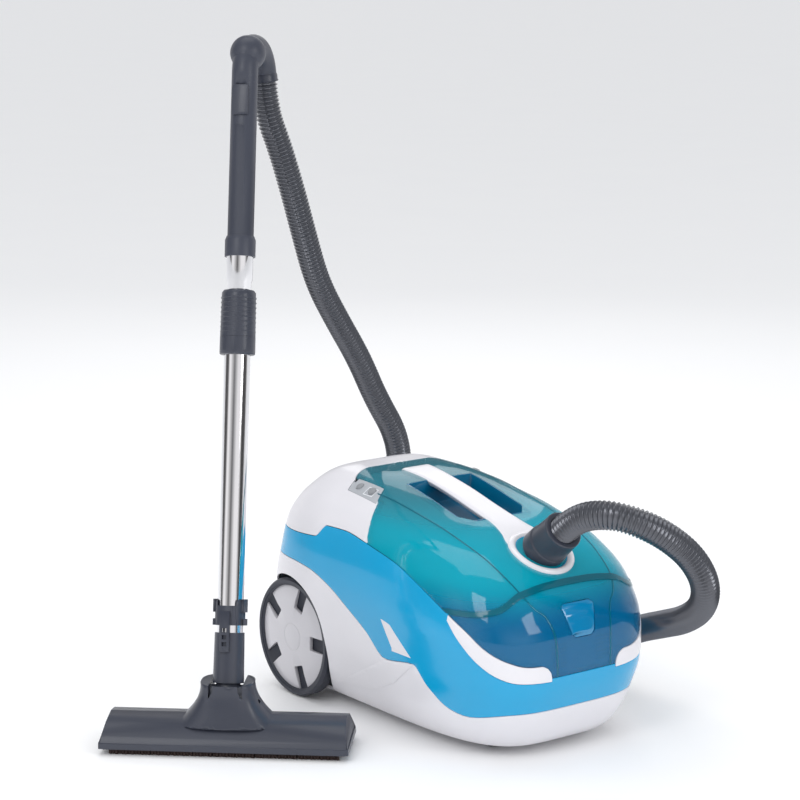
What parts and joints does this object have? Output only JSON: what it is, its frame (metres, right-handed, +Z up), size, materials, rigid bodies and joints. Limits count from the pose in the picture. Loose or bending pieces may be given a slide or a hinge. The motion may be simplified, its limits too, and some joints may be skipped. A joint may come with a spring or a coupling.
{
  "type": "canister vacuum cleaner",
  "caption": "Wheeled canister vacuum cleaner with a water tank, hinged lid, carrying handle, ribbed hose, telescopic wand and brushed floor head",
  "frame": {"origin": "centre of the box round the machine and its wand, without the hose, on the floor", "axes": "+Z up, the housing's front faces -Y and its right side, with the wand, is -X"},
  "size_m": [0.6982, 0.6959, 0.859],
  "materials": {
    "white_shell": "smooth glossy white",
    "blue_shell": "smooth glossy blue",
    "clear_blue": "see-through glossy blue",
    "clear_tank": "see-through tank plastic",
    "bright_ring": "glossy bright blue",
    "dark_plastic": "fine satin dark grey",
    "handle_plastic": "satin blue-grey",
    "light_plastic": "satin light grey",
    "hose_plastic": "ribbed flexible plastic",
    "tube_chrome": "polished chrome plate",
    "steel": "brushed",
    "fan_metal": "plain pressed",
    "windings": "laminated core with windings",
    "tyre_rubber": "matte black",
    "seal_rubber": "soft black",
    "filter_felt": "pleated felt",
    "bristle": "brown bristle",
    "board_green": "coated board"
  },
  "bodies": {
    "housing": {"lower_shell": "white_shell", "wheel_axles": "steel", "body_shell": "blue_shell", "trim_right": "white_shell", "trim_left": "white_shell", "rear_cover": "white_shell", "exhaust_grille": "white_shell", "control_panel_right": "light_plastic", "control_panel_left": "light_plastic", "water_tank": "clear_tank", "tank_seal": "seal_rubber", "tank_lid": "dark_plastic", "filter_insert": "dark_plastic", "motor_housing": "dark_plastic", "motor_stator": "windings", "drum_spindle": "dark_plastic", "circuit_board": "board_green", "exhaust_filter": "filter_felt", "cable_outlet": "seal_rubber", "base_screws": "steel", "lid_hinge_pin": "steel", "outer_tube": "tube_chrome", "telescope_collar": "dark_plastic", "lower_fitting": "dark_plastic", "neck_tube": "dark_plastic", "latch_strip": "dark_plastic", "hose_front": "hose_plastic", "hose_rear": "hose_plastic"},
    "lid": {"lid_shell": "clear_blue", "grip_tray": "blue_shell", "carry_handle": "white_shell", "socket_ring": "bright_ring"},
    "latch": {"latch_button": "white_shell"},
    "cuff": {"hose_cuff": "dark_plastic"},
    "plus": {"plus_key": "dark_plastic"},
    "minus": {"minus_key": "dark_plastic"},
    "power": {"power_key": "dark_plastic"},
    "wheel_left": {"tyre_left": "tyre_rubber", "hub_left": "dark_plastic", "hub_cover_left": "light_plastic"},
    "wheel_right": {"tyre_right": "tyre_rubber", "hub_right": "dark_plastic", "hub_cover_right": "light_plastic"},
    "fork_left": {"caster_fork_left": "light_plastic"},
    "fork_right": {"caster_fork_right": "light_plastic"},
    "roller_left": {"caster_wheel_left": "dark_plastic"},
    "roller_right": {"caster_wheel_right": "dark_plastic"},
    "fan": {"motor_rotor": "steel", "suction_fan": "fan_metal"},
    "drum": {"cable_drum": "dark_plastic"},
    "wand_upper": {"inner_tube": "tube_chrome", "handle_shell": "handle_plastic"},
    "slider": {"air_slider": "dark_plastic"},
    "swivel": {"hose_swivel": "light_plastic"},
    "sleeve": {"release_sleeve": "dark_plastic"},
    "elbow": {"neck_elbow": "dark_plastic"},
    "floor_head": {"head_shell": "dark_plastic", "neck_pin": "steel", "sole_plate": "steel", "bristle_strips": "bristle"}
  },
  "joints": [
    {"name": "lid_hinge", "type": "hinge", "parent": "housing", "child": "lid", "pos_m": [0.1579, 0.1161, 0.289], "axis": [-1, 0, 0], "range_deg": [0, 60], "deforming": ["hose_front"]},
    {"name": "latch_press", "type": "slide", "parent": "lid", "child": "latch", "axis": [0, 1, 0], "range_m": [0, 0.0025], "stiffness_N_per_m": 600},
    {"name": "cuff_spin", "type": "hinge", "parent": "lid", "child": "cuff", "pos_m": [0.1579, -0.1689, 0.241], "axis": [0, -0.766, 0.6428], "continuous": true},
    {"name": "plus_press", "type": "slide", "parent": "housing", "child": "plus", "axis": [0.4384, 0, -0.8988], "range_m": [0, 0.0015], "stiffness_N_per_m": 400},
    {"name": "minus_press", "type": "slide", "parent": "housing", "child": "minus", "axis": [0.4384, 0, -0.8988], "range_m": [0, 0.0015], "stiffness_N_per_m": 400},
    {"name": "power_press", "type": "slide", "parent": "housing", "child": "power", "axis": [-0.4384, 0, -0.8988], "range_m": [0, 0.0015], "stiffness_N_per_m": 400},
    {"name": "wheel_spin_left", "type": "hinge", "parent": "housing", "child": "wheel_left", "pos_m": [0.2944, 0.1611, 0.0785], "axis": [1, 0, 0], "continuous": true},
    {"name": "fork_swivel_left", "type": "hinge", "parent": "housing", "child": "fork_left", "pos_m": [0.2239, -0.1629, 0.036], "axis": [0, 0, 1], "continuous": true},
    {"name": "roller_spin_left", "type": "hinge", "parent": "fork_left", "child": "roller_left", "pos_m": [0.2239, -0.1549, 0.013], "axis": [1, 0, 0], "continuous": true},
    {"name": "wheel_spin_right", "type": "hinge", "parent": "housing", "child": "wheel_right", "pos_m": [0.0214, 0.1611, 0.0785], "axis": [1, 0, 0], "continuous": true},
    {"name": "fork_swivel_right", "type": "hinge", "parent": "housing", "child": "fork_right", "pos_m": [0.0919, -0.1629, 0.036], "axis": [0, 0, 1], "continuous": true},
    {"name": "roller_spin_right", "type": "hinge", "parent": "fork_right", "child": "roller_right", "pos_m": [0.0919, -0.1549, 0.013], "axis": [1, 0, 0], "continuous": true},
    {"name": "fan_spin", "type": "hinge", "parent": "housing", "child": "fan", "pos_m": [0.1579, 0.0851, 0.112], "axis": [0, 1, 0], "continuous": true},
    {"name": "drum_spin", "type": "hinge", "parent": "housing", "child": "drum", "pos_m": [0.1579, 0.1721, 0.112], "axis": [0, 1, 0], "continuous": true},
    {"name": "wand_telescope", "type": "slide", "parent": "housing", "child": "wand_upper", "axis": [0.1732, 0.1923, 0.9659], "range_m": [0, 0.33], "deforming": ["hose_rear"]},
    {"name": "air_slide", "type": "slide", "parent": "wand_upper", "child": "slider", "axis": [0.1732, 0.1923, 0.9659], "range_m": [-0.008, 0]},
    {"name": "hose_swivel_spin", "type": "hinge", "parent": "wand_upper", "child": "swivel", "pos_m": [0.02428, 0.23344, 0.80809], "axis": [0.0991, 0.0213, -0.9948], "continuous": true},
    {"name": "sleeve_release", "type": "slide", "parent": "housing", "child": "sleeve", "axis": [0.1732, 0.1923, 0.9659], "range_m": [0, 0.006], "stiffness_N_per_m": 400},
    {"name": "elbow_swivel", "type": "hinge", "parent": "housing", "child": "elbow", "pos_m": [-0.16307, 0.04449, 0.09664], "axis": [0.1732, 0.1923, 0.9659], "range_deg": [-90, 90]},
    {"name": "head_tilt", "type": "hinge", "parent": "elbow", "child": "floor_head", "pos_m": [-0.17, 0.0368, 0.058], "axis": [0.7431, -0.6691, 0], "range_deg": [-15, 60]}
  ]
}
